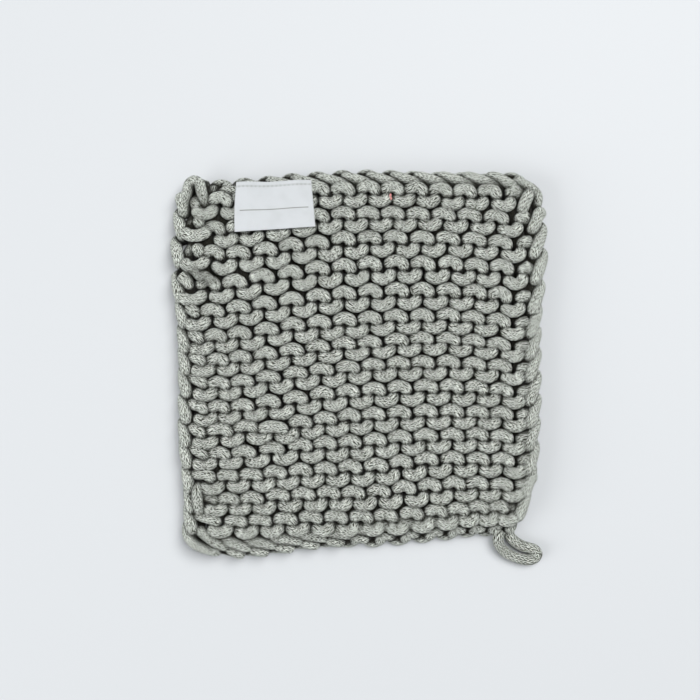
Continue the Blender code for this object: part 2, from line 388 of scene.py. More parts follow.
LABEL_WHITE = (0.615, 0.638, 0.652)
LABEL_GREY = (0.24, 0.25, 0.23)

# The table top, its colour and how far below the part's own floor it lies, in metres
TABLE_HALF = 1.5
TABLE_BELOW = 0.0004
TABLE_COLOUR = (0.595, 0.612, 0.625)

# The lights: name, place and size in metres, and power in watts; and the sky
LIGHTS = (
    ("window", (0.9, 1.0, 2.6), 1.8, 80),
    ("reflector", (-1.8, -0.7, 1.1), 1.6, 26),
)
SKY_COLOUR = (0.93, 0.96, 1.0)
SKY_STRENGTH = 0.38

# The hanging loop, repeated from the part: its cord and its middle line
LOOP_CORD = 6.0
LOOP_ROUTE = (
    (76.9, -90.6, 7.2),
    (76.0, -94.0, 7.0),
    (76.0, -96.4, 6.2),
    (76.6, -99.0, 5.1),
    (78.2, -101.8, 4.1),
    (80.9, -104.2, 3.4),
    (84.6, -106.1, 3.1),
    (88.9, -107.5, 3.05),
    (93.0, -108.1, 3.05),
    (96.3, -107.1, 3.05),
    (97.8, -104.8, 3.05),
    (96.1, -102.4, 3.05),
    (92.8, -101.4, 3.05),
    (89.0, -100.1, 3.05),
    (85.5, -97.9, 3.05),
    (82.9, -95.2, 3.05),
    (82.2, -92.4, 3.05),
    (80.9, -88.4, 3.05),
)


# ---------------------------------------------------------------- curves and surfaces


def curve_between(p0, p1, p2, p3, t):
    """The Catmull-Rom curve from p1 at t = 0 to p2 at t = 1, which is half of
    2 p1 + (p2 - p0) t + (2 p0 - 5 p1 + 4 p2 - p3) t^2 + (3 p1 - p0 - 3 p2 + p3) t^3."""
    return 0.5 * (
        2 * p1
        + (p2 - p0) * t
        + (2 * p0 - 5 * p1 + 4 * p2 - p3) * t**2
        + (3 * p1 - p0 - 3 * p2 + p3) * t**3
    )


def smooth_line(points, finer):
    """The Catmull-Rom curve through all the points, with so many steps from one to the next.

    Past both ends it is led by a point as far beyond the end as the next one is before it."""
    count = len(points)
    place = np.linspace(0, count - 1, (count - 1) * finer + 1)
    first = np.clip(place.astype(int), 0, count - 2)
    t = (place - first)[:, None]
    ends = np.vstack([2 * points[0] - points[1], points, 2 * points[-1] - points[-2]])
    return curve_between(*(ends[first + step] for step in range(4)), t)


def evenly_spaced(path, gap):
    """The same line with its points about one gap apart, measured along it."""
    way = np.concatenate([[0], np.cumsum(np.linalg.norm(np.diff(path, axis=0), axis=1))])
    places = np.linspace(0, way[-1], int(way[-1] / gap) + 1)
    return np.stack([np.interp(places, way, values) for values in path.T], axis=1)


def laid_cord(route, gap):
    """A given route as an evenly spaced middle line."""
    return evenly_spaced(smooth_line(np.array(route), ROUTE_FINER), gap)


def smooth_step(share):
    """3 t^2 - 2 t^3, with the share t held between 0 and 1."""
    share = np.clip(share, 0, 1)
    return share * share * (3 - 2 * share)


def pressed(heights):
    """The same heights with what stands far above or below the middle pressed towards it.

    With d the distance from MID_HEIGHT, d becomes d - (1 - share) ln(1 + exp(d - from)), which
    leaves the inside alone and takes the outermost crowns down to a share of their roundness."""
    off = heights - MID_HEIGHT
    taken = (1 - PRESSED_SHARE) * np.log1p(np.exp(np.abs(off) - PRESSED_FROM))
    return MID_HEIGHT + np.sign(off) * (np.abs(off) - np.minimum(taken, np.abs(off)))


def untwisted_frame(path):
    """Two directions across the path that turn no more than the path itself does.

    Any pair across the path is taken at each point first. The angle by which the next pair is turned
    against this one, carried along the bend, is added up along the path and taken back out."""
    along = np.gradient(path, axis=0)
    along /= np.linalg.norm(along, axis=1, keepdims=True)
    least = np.eye(3)[np.argmin(np.abs(along), axis=1)]
    side = np.cross(along, least)
    side /= np.linalg.norm(side, axis=1, keepdims=True)
    up = np.cross(along, side)
    here, after = along[:-1], along[1:]
    axis = np.cross(here, after)
    cosine = np.sum(here * after, axis=1, keepdims=True)
    carried = (
        side[:-1] * cosine
        + np.cross(axis, side[:-1])
        + axis * np.sum(axis * side[:-1], axis=1, keepdims=True) / (1 + cosine)
    )
    turned = np.arctan2(np.sum(carried * up[1:], axis=1), np.sum(carried * side[1:], axis=1))
    angle = np.concatenate([[0], np.cumsum(turned)])[:, None]
    return (
        side * np.cos(angle) + up * np.sin(angle),
        up * np.cos(angle) - side * np.sin(angle),
    )


def add_object(name, data):
    """A new object that shows a mesh, a camera or a light, put into the scene."""
    added = bpy.data.objects.new(name, data)
    bpy.context.scene.collection.objects.link(added)
    return added


def make_object(name, points, faces, uv, material):
    """A smooth mesh object from points in millimetres, faces and one UV pair for each face corner."""
    mesh = bpy.data.meshes.new(name)
    mesh.from_pydata((points * MM).tolist(), [], faces)
    layer = mesh.uv_layers.new(name="Cloth")
    layer.data.foreach_set("uv", np.asarray(uv, dtype=np.float32).ravel())
    mesh.polygons.foreach_set("use_smooth", np.ones(len(mesh.polygons), dtype=bool))
    mesh.materials.append(material)
    mesh.update()
    return add_object(name, mesh)


def cord_surface(path, radius, sides=CORD_SIDES):
    """A round cord: point(i, a) = path(i) + r(i) (side(i) cos a + up(i) sin a).

    Near an end r(i) = radius sqrt(1 - (1 - d / radius)^2), with d the way to that end and 0.02 of the
    radius more, so that the end is round. UV runs in millimetres along, and from 0 to 1 around."""
    step = np.linalg.norm(np.diff(path, axis=0), axis=1)
    way = np.concatenate([[0], np.cumsum(step)])
    to_end = np.minimum(way, way[-1] - way) + 0.02 * radius
    shrink = np.sqrt(1 - (1 - np.minimum(to_end / radius, 1)) ** 2)[:, None, None]
    side, up = untwisted_frame(path)
    angle = np.arange(sides) / sides * 2 * np.pi
    cosine, sine = np.cos(angle)[None, :, None], np.sin(angle)[None, :, None]
    circle = side[:, None] * cosine + up[:, None] * sine
    points = (path[:, None] + radius * shrink * circle).reshape(-1, 3)
    ring = np.arange(len(path) - 1)[:, None] * sides
    place = np.arange(sides)[None, :]
    after = (place + 1) % sides
    faces = np.stack([ring + place, ring + after, ring + sides + after, ring + sides + place], axis=-1)
    v = np.stack([place, place + 1, place + 1, place], axis=-1) / sides
    v = np.broadcast_to(v, faces.shape)
    u = np.stack([way[:-1], way[:-1], way[1:], way[1:]], axis=-1)[:, None]
    u = np.broadcast_to(u, faces.shape)
    uv = np.stack([u, v], axis=-1).reshape(-1, 2)
    last_ring = (len(path) - 1) * sides
    caps = [list(range(sides))[::-1], list(range(last_ring, last_ring + sides))]
    cap_uv = np.repeat([[0.0, 0.5], [way[-1], 0.5]], sides, axis=0)
    return points, faces.reshape(-1, 4).tolist() + caps, np.vstack([uv, cap_uv])


def mean_heights(lines):
    """How high the knitting reaches on the whole around each cell of a square grid.

    Each point of a middle line is taken as a ball of CORD_RADIUS: a distance d beside it, the ball
    reaches z + sqrt(radius^2 - d^2), pressed as the surfaces are, and bare cells hold 0. The highest
    of these is then averaged around each cell under a bell curve, by taking waves of frequency f
    times exp(-2 (pi HOLLOW_AROUND f)^2)."""
    points = np.vstack(lines)
    cell = np.round(points[:, :2] / GRID_CELL).astype(int) + GRID_CELLS // 2
    heights = np.zeros((GRID_CELLS, GRID_CELLS))
    reach = int(CORD_RADIUS / GRID_CELL)
    for x in range(-reach, reach + 1):
        for y in range(-reach, reach + 1):
            rest = max(CORD_RADIUS**2 - (x * x + y * y) * GRID_CELL**2, 0)
            reached = pressed(points[:, 2] + math.sqrt(rest))
            np.maximum.at(heights, (cell[:, 0] + x, cell[:, 1] + y), reached)
    frequency = np.fft.fftfreq(GRID_CELLS, GRID_CELL)
    fade = np.exp(-2 * (np.pi * HOLLOW_AROUND * frequency) ** 2)
    return np.fft.ifft2(np.fft.fft2(heights) * fade[:, None] * fade[None, :]).real


def height_at(heights, points):
    """The grid's height at each point, mixed in straight lines between the four cells around it."""
    place = points[:, :2] / GRID_CELL + GRID_CELLS // 2
    corner = np.floor(place).astype(int)
    x, y = (place - corner).T
    i, j = corner.T
    near = heights[i, j] * (1 - x) + heights[i + 1, j] * x
    far = heights[i, j + 1] * (1 - x) + heights[i + 1, j + 1] * x
    return near * (1 - y) + far * y


def mark_hollow_shade(piece, points, face_heights, back_heights):
    """Stores how deep between the turns of cord each point lies, from 0 to 1, as the share
    of painted shade that stands in for the shadow there.

    It is a smooth step, over HOLLOW_DEPTH, of how far the point lies below the mean height around
    it, seen from the face or from the back, whichever is less."""
    below_face = height_at(face_heights, points) - points[:, 2]
    below_back = height_at(back_heights, points) - (2 * MID_HEIGHT - points[:, 2])
    low, high = HOLLOW_DEPTH
    hollow_shade = smooth_step((np.minimum(below_face, below_back) - low) / (high - low))
    layer = piece.data.attributes.new("hollow_shade", "FLOAT", "POINT")
    layer.data.foreach_set("value", hollow_shade.astype(np.float32))


def join_surfaces(surfaces):
    """Several surfaces as one: their points, faces and UV pairs one after the other."""
    points, faces, uv = [], [], []
    count = 0
    for new_points, new_faces, new_uv in surfaces:
        points.append(new_points)
        faces += [[corner + count for corner in face] for face in new_faces]
        uv.append(new_uv)
        count += len(new_points)
    return np.vstack(points), faces, np.vstack(uv)


# ---------------------------------------------------------------- the net that the stitches lie on


def across_arches(values, places):
    """The natural cubic spline through the values at ARCHES, straight on beyond the ends."""
    gap = np.diff(ARCHES)
    count = len(ARCHES)
    system = np.eye(count)
    for i in range(1, count - 1):
        system[i, i - 1 : i + 2] = gap[i - 1], 2 * (gap[i - 1] + gap[i]), gap[i]
    slope = np.diff(values, axis=-1) / gap
    bend = np.zeros(values.shape)
    bend[..., 1:-1] = 6 * np.diff(slope, axis=-1)
    bend = np.linalg.solve(system, bend.T).T
    k = np.clip(np.searchsorted(ARCHES, places) - 1, 0, count - 2)
    left, right = places - ARCHES[k], ARCHES[k + 1] - places
    width = gap[k]
    inside = (
        (bend[..., k] * right**3 + bend[..., k + 1] * left**3) / (6 * width)
        + (values[..., k] / width - bend[..., k] * width / 6) * right
        + (values[..., k + 1] / width - bend[..., k + 1] * width / 6) * left
    )
    before = values[..., :1] + slope[..., :1] * (places - ARCHES[0])
    beyond = values[..., -1:] + slope[..., -1:] * (places - ARCHES[-1])
    return np.where(places < ARCHES[0], before, np.where(places > ARCHES[-1], beyond, inside))


def ridge_net():
    """The measured places with one more ridge below the first and above the last.

    Returns the rows' numbers and, for each, the places across and up at ARCHES."""
    across, up = RIDGE_PLACES[:, ACROSS], RIDGE_PLACES[:, UP]
    rows = np.arange(-1, ROWS + 2, 2)
    across = np.vstack([across[0] + GOES_ON_BY * (across[0] - across[1]), across, across[-1]])
    up = np.vstack([up[0] - BELOW_FIRST_RIDGE, up, up[-1] + ABOVE_LAST_RIDGE])
    return rows, across, up


def net_point(stitch, row):
    """Where a place of the knitting lies: a Catmull-Rom curve up the rows through splines across."""
    rows, across, up = ridge_net()
    flat_stitch, flat_row = np.ravel(stitch), np.ravel(row)
    k = np.clip(np.searchsorted(rows, flat_row) - 1, 0, len(rows) - 2)
    t = (flat_row - rows[k]) / 2
    here = np.arange(len(k))
    found = []
    for values in (across, up):
        lines = across_arches(values, flat_stitch)
        around = (lines[np.clip(k + step, 0, len(rows) - 1), here] for step in (-1, 0, 1, 2))
        found.append(curve_between(*around, t).reshape(np.shape(stitch)))
    return found


# ---------------------------------------------------------------- the knitted cord


def arch_rise(stitch, row, wave):
    """How far a turn stands past its ridge's middle.

    It is half of the way to the next ridge on that side and RIDGE_OVERLAP, less the cord's radius,
    and is held between LEAST_RISE and MOST_RISE. Low and high turns are mixed by (1 + wave) / 2."""
    levels = np.arange(ROWS + 1)[:, None] + 0 * stitch[:1]
    places = stitch[:1] + 0 * levels
    above = net_point(places, np.clip(levels + 1.0, 0, ROWS))[1]
    below = net_point(places, np.clip(levels - 1.0, 0, ROWS))[1]
    room = (above - below) * 2 / (np.clip(levels + 1, 0, ROWS) - np.clip(levels - 1, 0, ROWS))
    rise = np.clip((room + RIDGE_OVERLAP) / 2 - CORD_RADIUS, LEAST_RISE, MOST_RISE)
    number = row[:, 0]
    under = rise[np.clip(number - 1, 0, ROWS)]
    over = rise[np.clip(number + 2, 0, ROWS)]
    return under * (1 + wave) / 2 + over * (1 - wave) / 2


def knitted_rows():
    """The middle line of every row, from left to right, as an array (row, place, 3).

    With a = 2 pi stitch, and f = 1 on rows that are in front at their low turns and -1 on the others,
    x = net + spread sin 2a and y = net - arch_rise cos a. With q = f cos a, which is 1 at the turns in
    front and -1 at those behind, and s = f sin a, the height is
    z = middle + sgn q (depth step(|q|) + overlap s 4 q^2 (1 - q^2)), where step rises smoothly between
    DIVE_TO and DIVE_FROM, each less its share of s, so that a right leg lies on the leg beside it.
    Every turn is then shifted by chance, and some as the tables say: t stitches from the changed
    turn's middle, a shift counts cos^2 (pi t) and a widening cos^2 (pi t) sin 2 pi t."""
    chance = np.random.default_rng(SEED)
    stitch = np.arange(STITCHES * PLACES_A_STITCH + 1)[None, :] / PLACES_A_STITCH
    row = np.arange(ROWS)[:, None]
    stitch, row = np.broadcast_arrays(stitch, row)
    angle = 2 * np.pi * stitch
    wave = np.cos(angle)
    face = np.where(row % 2 == 1, 1.0, -1.0)
    across, up = net_point(stitch, row + 0.5 - 0.5 * wave)
    across = across + LEG_SPREAD * np.sin(2 * angle)
    up = up - arch_rise(stitch, row, wave) * wave
    front, lean = face * wave, face * np.sin(angle)
    dive_to = DIVE_TO[0] - DIVE_TO[1] * lean
    dive_from = DIVE_FROM[0] - DIVE_FROM[1] * lean
    rise = smooth_step((np.abs(front) - dive_to) / (dive_from - dive_to))
    crossing = lean * 4 * front**2 * (1 - front**2)
    height = MID_HEIGHT + np.sign(front) * (WAVE_DEPTH * rise + LEG_OVERLAP * crossing)
    lines = np.stack([across, up, height], axis=-1)
    low_turn = (1 + wave[..., None]) / 2
    low_shift = chance.normal(0, UNEVENNESS, (ROWS, STITCHES + 1, 3))
    high_shift = chance.normal(0, UNEVENNESS, (ROWS, STITCHES, 3))
    nearest = np.clip(np.round(stitch).astype(int), 0, STITCHES)
    arch = np.clip(np.floor(stitch).astype(int), 0, STITCHES - 1)
    shift = low_turn * low_shift[row, nearest] + (1 - low_turn) * high_shift[row, arch]
    lines = lines + shift * np.array([1.0, 1.0, UNEVEN_HEIGHT])
    every = [(ridge, *change) for change in EVERY_RIDGE for ridge in range(1, RIDGES + 1)]
    for ridge, kind, place, to_right, to_top, wider, nearer in (*every, *ODD_STITCHES):
        changed = ROWS + 1 - 2 * ridge - (kind == "arch")
        off = np.clip(stitch[changed] - place, -0.5, 0.5)
        near = np.cos(np.pi * off) ** 2
        lines[changed, :, 0] += near * (to_right + wider * np.sin(2 * np.pi * off))
        lines[changed, :, 1] += near * to_top
        lines[changed, :, 2] += near * nearer
    return lines


def side_turn(ridge, side):
    """The turn at one side of a ridge: its table laid from that side and the ridge's middle."""
    places = RIDGE_PLACES[ridge]
    from_top = RIDGES - ridge
    if side == "left":
        table, outer, inward, middle = np.array(LEFT_TURN), places[LEFT_SIDE], 1, places[UP][0]
    else:
        table = np.array(TOP_RIGHT_TURN if from_top == 1 else RIGHT_TURN)
        outer, inward, middle = places[RIGHT_SIDE], -1, places[UP][-1]
    if side == "left" and from_top in SHORT_STUBS:
        table[: len(SHORT_STUB)] = SHORT_STUB
    table[:, 1] = np.minimum(table[:, 1], HIGHEST_TURN.get((side, from_top), np.inf))
    return np.stack([outer + inward * table[:, 0], middle + table[:, 1], table[:, 2]], axis=1)


def body_cord():
    """The middle line of the whole body's cord, cut into BANDS where it hides under the left side."""
    rows = knitted_rows()
    stitch = np.arange(rows.shape[1]) / PLACES_A_STITCH
    bands = []
    line = []
    for row in range(ROWS):
        on_face = row % 2 == 1
        first, last = ROW_REACH["face" if on_face else "back"]
        kept = rows[row, (stitch > first) & (stitch < last)]
        line.append(kept if on_face else kept[::-1])
        if on_face:
            line.append(side_turn(row // 2, "right"))
            continue
        turn = side_turn(row // 2, "left")
        if row + 1 in BANDS:
            line.append(turn[: HIDDEN_PLACE + 1])
            bands.append(np.vstack(line))
            line = [turn[HIDDEN_PLACE:]]
        else:
            line.append(turn)
    bands.append(np.vstack(line))
    return [evenly_spaced(smooth_line(band, ROW_FINER), RING_GAP) for band in bands]


def edge_chain(first, last, ridge_row, outline, inset, rise, depth, height, lean):
    """The middle line of a chain along a finished edge, in links from place first to place last.

    With a = 2 pi links and d = 1 to the right or -1 to the left, the place along the ridge is
    first + d (links - lean swing cos a), the height z is height + depth sin a, and the line is
    inset + rise (1 + lean cos a) / 2 inside the outline, on the side of the knitting."""
    links = int(round(abs(last - first)))
    part = np.arange(links * PLACES_A_LINK + 1) / PLACES_A_LINK
    angle = 2 * np.pi * part
    step = np.sign(last - first)
    stitch = first + step * (part - lean * CHAIN_SWING * np.cos(angle))
    across = net_point(stitch, np.full(stitch.shape, float(ridge_row)))[0]
    inward = np.sign(np.mean(RIDGE_PLACES[:, UP]) - outline[0, 1])
    outer = np.interp(across, outline[:, 0], outline[:, 1])
    up = outer + inward * (inset + rise * (1 + lean * np.cos(angle)) / 2)
    line = np.stack([across, up, height + depth * np.sin(angle)], axis=-1)
    return smooth_line(line, CHAIN_FINER)


# ---------------------------------------------------------------- materials


def plain_material(name, colour, roughness):
    """A new material with its shader's own colour and roughness set."""
    material = bpy.data.materials.new(name)
    material.use_nodes = True
    shader = material.node_tree.nodes["Principled BSDF"]
    shader.inputs["Base Color"].default_value = (*colour, 1)
    shader.inputs["Roughness"].default_value = roughness
    return material


def connect(tree, value, socket):
    """Puts a number, or another node's output, into a socket."""
    if isinstance(value, bpy.types.NodeSocket):
        tree.links.new(value, socket)
    else:
        socket.default_value = value


def calculate(tree, operation, *values):
    """The output of a Math node with the given inputs."""
    node = tree.nodes.new("ShaderNodeMath")
    node.operation = operation
    for value, socket in zip(values, node.inputs):
        connect(tree, value, socket)
    return node.outputs[0]


def blend_range(tree, value, low, high, start=0.0, end=1.0):
    """A smooth step of a value from low to high, given out from start to end."""
    node = tree.nodes.new("ShaderNodeMapRange")
    node.interpolation_type = "SMOOTHSTEP"
    names = ("Value", "From Min", "From Max", "To Min", "To Max")
    for name, number in zip(names, (value, low, high, start, end)):
        connect(tree, number, node.inputs[name])
    return node.outputs["Result"]


def distance_from(tree, value, middle):
    """How far a value lies from a middle one, to either side."""
    return calculate(tree, "ABSOLUTE", calculate(tree, "SUBTRACT", value, middle))


def wave_of(tree, value, length):
    """sin(2 pi value / length)."""
    return calculate(tree, "SINE", calculate(tree, "MULTIPLY", value, 2 * math.pi / length))


def vector_of(tree, x, y, z):
    """Three numbers or outputs as one vector."""
    node = tree.nodes.new("ShaderNodeCombineXYZ")
    for value, socket in zip((x, y, z), node.inputs):
        connect(tree, value, socket)
    return node.outputs[0]


def noise_of(tree, place, scale, detail=2.0, rough=0.5):
    """The value of a Noise node at a place."""
    node = tree.nodes.new("ShaderNodeTexNoise")
    tree.links.new(place, node.inputs["Vector"])
    node.inputs["Scale"].default_value = scale
    node.inputs["Detail"].default_value = detail
    node.inputs["Roughness"].default_value = rough
    return node.outputs["Fac"]


def place_on_cloth(tree):
    """Both UV values of a place."""
    cloth = tree.nodes.new("ShaderNodeUVMap")
    cloth.uv_map = "Cloth"
    parts = tree.nodes.new("ShaderNodeSeparateXYZ")
    tree.links.new(cloth.outputs["UV"], parts.inputs[0])
    return parts.outputs["X"], parts.outputs["Y"]


def mixed_colour(tree, share, colour, other):
    """A colour, with a share of another one in it."""
    node = tree.nodes.new("ShaderNodeMix")
    node.data_type = "RGBA"
    for name, value in zip(("Factor", "A", "B"), (share, colour, other)):
        connect(tree, value, node.inputs[name])
    return node.outputs["Result"]


def add_bump(tree, height, depth, strength):
    """Makes the surface as uneven as a height says, which is so many millimetres deep where it is 1."""
    bump = tree.nodes.new("ShaderNodeBump")
    bump.inputs["Distance"].default_value = depth * MM
    bump.inputs["Strength"].default_value = strength
    tree.links.new(height, bump.inputs["Height"])
    tree.links.new(bump.outputs["Normal"], tree.nodes["Principled BSDF"].inputs["Normal"])


def new_group(name, inputs, outputs):
    """An empty shader node group with named float inputs and outputs, and its two end nodes."""
    group = bpy.data.node_groups.new(name, "ShaderNodeTree")
    for title in inputs:
        group.interface.new_socket(title, in_out="INPUT", socket_type="NodeSocketFloat")
    for title in outputs:
        group.interface.new_socket(title, in_out="OUTPUT", socket_type="NodeSocketFloat")
    return group, group.nodes.new("NodeGroupInput"), group.nodes.new("NodeGroupOutput")


def knitted_cord_group():
    """The cord's own fine knitting: columns of small V-shaped stitches that run along it.

    Across a column, t runs from 0 in its middle to 1 at its borders. A strand's place along the
    cord is along / length + lean t, and its crown is where that place is a whole number. The height
    is ((1 + cos 2 pi place) / 2)^power, less what its two ends are tucked in, at t = 0 and t = 1. On
    some strands picked by chance, the gap where an end tucks in gets painted shade, given out as the
    third output."""
    group, given, result = new_group(
        "Fine_knitting",
        ("Along", "Around", "Columns", "Length", "Lean", "Wobble"),
        ("Height", "Shade", "Pit_shade"),
    )
    wobble = calculate(group, "SUBTRACT", given.outputs["Wobble"], 0.5)
    wobble = calculate(group, "MULTIPLY", wobble, STRAND_WOBBLE)
    column = calculate(group, "MULTIPLY", given.outputs["Around"], given.outputs["Columns"])
    column = calculate(group, "MULTIPLY_ADD", wobble, COLUMN_WOBBLE, column)
    whole = calculate(group, "FLOOR", column)
    across = calculate(group, "SUBTRACT", calculate(group, "SUBTRACT", column, whole), 0.5)
    t = calculate(group, "MULTIPLY", calculate(group, "ABSOLUTE", across), 2.0)
    half = calculate(group, "GREATER_THAN", across, 0.0)
    place = calculate(group, "DIVIDE", given.outputs["Along"], given.outputs["Length"])
    place = calculate(group, "MULTIPLY_ADD", t, given.outputs["Lean"], place)
    place = calculate(group, "ADD", place, wobble)
    strand = calculate(group, "FLOOR", calculate(group, "ADD", place, 0.5))
    wave = calculate(group, "COSINE", calculate(group, "MULTIPLY", place, 2 * math.pi))
    crown = calculate(group, "MULTIPLY_ADD", wave, 0.5, 0.5)
    crown = calculate(group, "POWER", crown, CROWN_POWER)
    tucked = calculate(group, "MULTIPLY", distance_from(group, t, 0.5), 2.0)
    tucked = calculate(group, "POWER", tucked, TUCK_POWER)
    height = calculate(group, "SUBTRACT", crown, calculate(group, "MULTIPLY", tucked, TUCK_DEPTH))
    chance = group.nodes.new("ShaderNodeTexWhiteNoise")
    side = calculate(group, "MULTIPLY_ADD", whole, 2.0, half)
    group.links.new(vector_of(group, strand, side, 0.0), chance.inputs["Vector"])
    gap = calculate(group, "SUBTRACT", 1.0, crown)
    # Painted shade in the pit where a strand's end tucks in
    pit_shade = calculate(group, "MULTIPLY", gap, tucked)
    pitted = blend_range(group, chance.outputs["Value"], *PITTED_STRANDS)
    pit_shade = calculate(group, "MULTIPLY", pit_shade, pitted)
    group.links.new(height, result.inputs["Height"])
    group.links.new(chance.outputs["Value"], result.inputs["Shade"])
    group.links.new(pit_shade, result.inputs["Pit_shade"])
    return group


def cord_material(name, group, columns, length, gap_depth):
    """Cotton cord: lighter crowns, darker gaps between its strands, and a little bump and fuzz. The
    dark of the gaps is painted shade.

    A place's tone is CROWN_TONE less gap_depth (1 - height)^1.5, varied by strand and by fibre, less
    a speck's. The tone picks the cord's colour, and painted shade, for the shadow deep between the
    turns and in the pits of the strands, is mixed into that."""
    material = plain_material(name, CORD_MIDDLE, 0.92)
    tree = material.node_tree
    shader = tree.nodes["Principled BSDF"]
    shader.inputs["Sheen Weight"].default_value = 0.06
    shader.inputs["Sheen Roughness"].default_value = 0.6
    shader.inputs["Specular IOR Level"].default_value = 0.1
    along, around = place_on_cloth(tree)
    where = tree.nodes.new("ShaderNodeTexCoord").outputs["Object"]
    knit = tree.nodes.new("ShaderNodeGroup")
    knit.node_tree = group
    given = {
        "Along": along,
        "Around": around,
        "Columns": columns,
        "Length": length,
        "Lean": CORD_LEAN,
        "Wobble": noise_of(tree, where, WOBBLE_NOISE),
    }
    for title, value in given.items():
        connect(tree, value, knit.inputs[title])
    fibre = noise_of(tree, where, FIBRE_NOISE, 3.0, 0.7)
    uneven = blend_range(tree, noise_of(tree, where, STRAND_NOISE), 0.3, 0.6, 0.6, 1.15)
    speck = blend_range(tree, noise_of(tree, where, SPECK_NOISE, 1.0), 0.57, 0.65, 0.0, SPECK_TONES)
    # The gaps between the strands get painted shade, taken off the crown's tone
    gap = calculate(tree, "SUBTRACT", 1.0, knit.outputs["Height"])
    gap = calculate(tree, "MULTIPLY", calculate(tree, "POWER", gap, 1.5), uneven)
    tone = calculate(tree, "MULTIPLY_ADD", gap, -gap_depth, CROWN_TONE)
    tone = calculate(tree, "SUBTRACT", tone, STRAND_TONES / 2)
    tone = calculate(tree, "MULTIPLY_ADD", knit.outputs["Shade"], STRAND_TONES, tone)
    tone = calculate(tree, "SUBTRACT", tone, FIBRE_TAKEN)
    tone = calculate(tree, "MULTIPLY_ADD", fibre, FIBRE_TONES, tone)
    tone = calculate(tree, "SUBTRACT", tone, speck)
    ramp = tree.nodes.new("ShaderNodeValToRGB")
    tree.links.new(tone, ramp.inputs["Fac"])
    stops = ramp.color_ramp.elements
    stops[0].position, stops[0].color = DARK_TONE, (*CORD_DARK, 1)
    stops[1].position, stops[1].color = LIGHT_TONE, (*CORD_LIGHT, 1)
    stops.new(MIDDLE_TONE).color = (*CORD_MIDDLE, 1)
    # Painted shade: the cord's colour goes towards near black deep between the turns and in the pits of
    # its strands
    hollow_shade = tree.nodes.new("ShaderNodeAttribute")
    hollow_shade.attribute_name = "hollow_shade"
    deep = calculate(tree, "MULTIPLY", knit.outputs["Pit_shade"], PIT_SHADE)
    deep = calculate(tree, "MAXIMUM", deep, hollow_shade.outputs["Fac"])
    deep = calculate(tree, "MINIMUM", deep, HOLLOW_SHADE_MOST)
    colour = mixed_colour(tree, deep, ramp.outputs["Color"], (*HOLLOW_SHADE_COLOUR, 1))
    tree.links.new(colour, shader.inputs["Base Color"])
    relief = calculate(tree, "MULTIPLY_ADD", fibre, 0.25, knit.outputs["Height"])
    add_bump(tree, relief, depth=0.5, strength=0.7)
    return material


def satin_material():
    """White satin ribbon: fine threads across it, a stitched line near its top whose grey is partly
    painted shade along the edge of the folded hem, and a thin grey rule.

    The piece's UV runs in millimetres across it and down its face from the top edge."""
    material = plain_material("White_satin", LABEL_WHITE, 0.5)
    tree = material.node_tree
    shader = tree.nodes["Principled BSDF"]
    shader.inputs["Sheen Weight"].default_value = 0.15
    shader.inputs["Specular IOR Level"].default_value = 0.35
    across, down = place_on_cloth(tree)
    wave_across = wave_of(tree, across, THREADS_APART[0])
    wave_down = calculate(tree, "MULTIPLY", wave_of(tree, down, THREADS_APART[1]), 0.65)
    threads = calculate(tree, "MULTIPLY_ADD", wave_across, 0.35, wave_down)
    where = tree.nodes.new("ShaderNodeTexCoord").outputs["Object"]
    creased = blend_range(tree, noise_of(tree, where, SATIN_NOISE, 3.0), 0.3, 0.8, 0.0, 0.12)
    off_line = distance_from(tree, down, LABEL_STITCHES_DOWN)
    dashed = blend_range(tree, wave_of(tree, across, LABEL_STITCH), -0.9, 0.4, 1.0, 0.55)
    # The stitched line's grey stands for its stitches and partly for painted shade along the hem's edge
    stitch_line_and_shade = calculate(tree, "MULTIPLY", blend_range(tree, off_line, 0.25, 0.8, 0.42, 0.0), dashed)
    off_rule = distance_from(tree, down, LABEL_RULE_DOWN)
    off_middle = distance_from(tree, across, LABEL_WIDTH / 2)
    ends = blend_range(tree, off_middle, LABEL_RULE_HALF, LABEL_RULE_HALF + 0.4, 1.0, 0.0)
    rule = calculate(tree, "MULTIPLY", blend_range(tree, off_rule, 0.12, 0.4, 0.9, 0.0), ends)
    shade = calculate(tree, "MAXIMUM", stitch_line_and_shade, rule)
    shade = calculate(tree, "MULTIPLY_ADD", threads, 0.05, shade)
    shade = calculate(tree, "ADD", shade, creased)
    colour = mixed_colour(tree, shade, (*LABEL_WHITE, 1), (*LABEL_GREY, 1))
    tree.links.new(colour, shader.inputs["Base Color"])
    sunk = calculate(tree, "MULTIPLY", stitch_line_and_shade, 4.0)
    add_bump(tree, calculate(tree, "SUBTRACT", threads, sunk), depth=0.06, strength=1.0)
    return material


def make_floor():
    """A wide plain pale table top, a little below the pot holder's lowest point."""
    mesh = bpy.data.meshes.new("table_top")
    corners = [(x * TABLE_HALF, y * TABLE_HALF, 0) for x, y in ((-1, -1), (1, -1), (1, 1), (-1, 1))]
    mesh.from_pydata(corners, [], [(0, 1, 2, 3)])
    mesh.materials.append(plain_material("Pale_table", TABLE_COLOUR, 0.6))
    floor = add_object("table_top", mesh)
    floor.location.z = -TABLE_BELOW


def aim_camera():
    """A camera straight above, wide enough to take in FIELD_WIDTH at the height of the knitting."""
    lens = bpy.data.cameras.new("camera")
    lens.angle = 2 * math.atan(FIELD_WIDTH / 2 / CAMERA_DISTANCE)
    camera = add_object("camera", lens)
    camera.location = (LOOK_AT[0] * MM, LOOK_AT[1] * MM, (LOOK_AT[2] + CAMERA_DISTANCE) * MM)
    bpy.context.scene.camera = camera


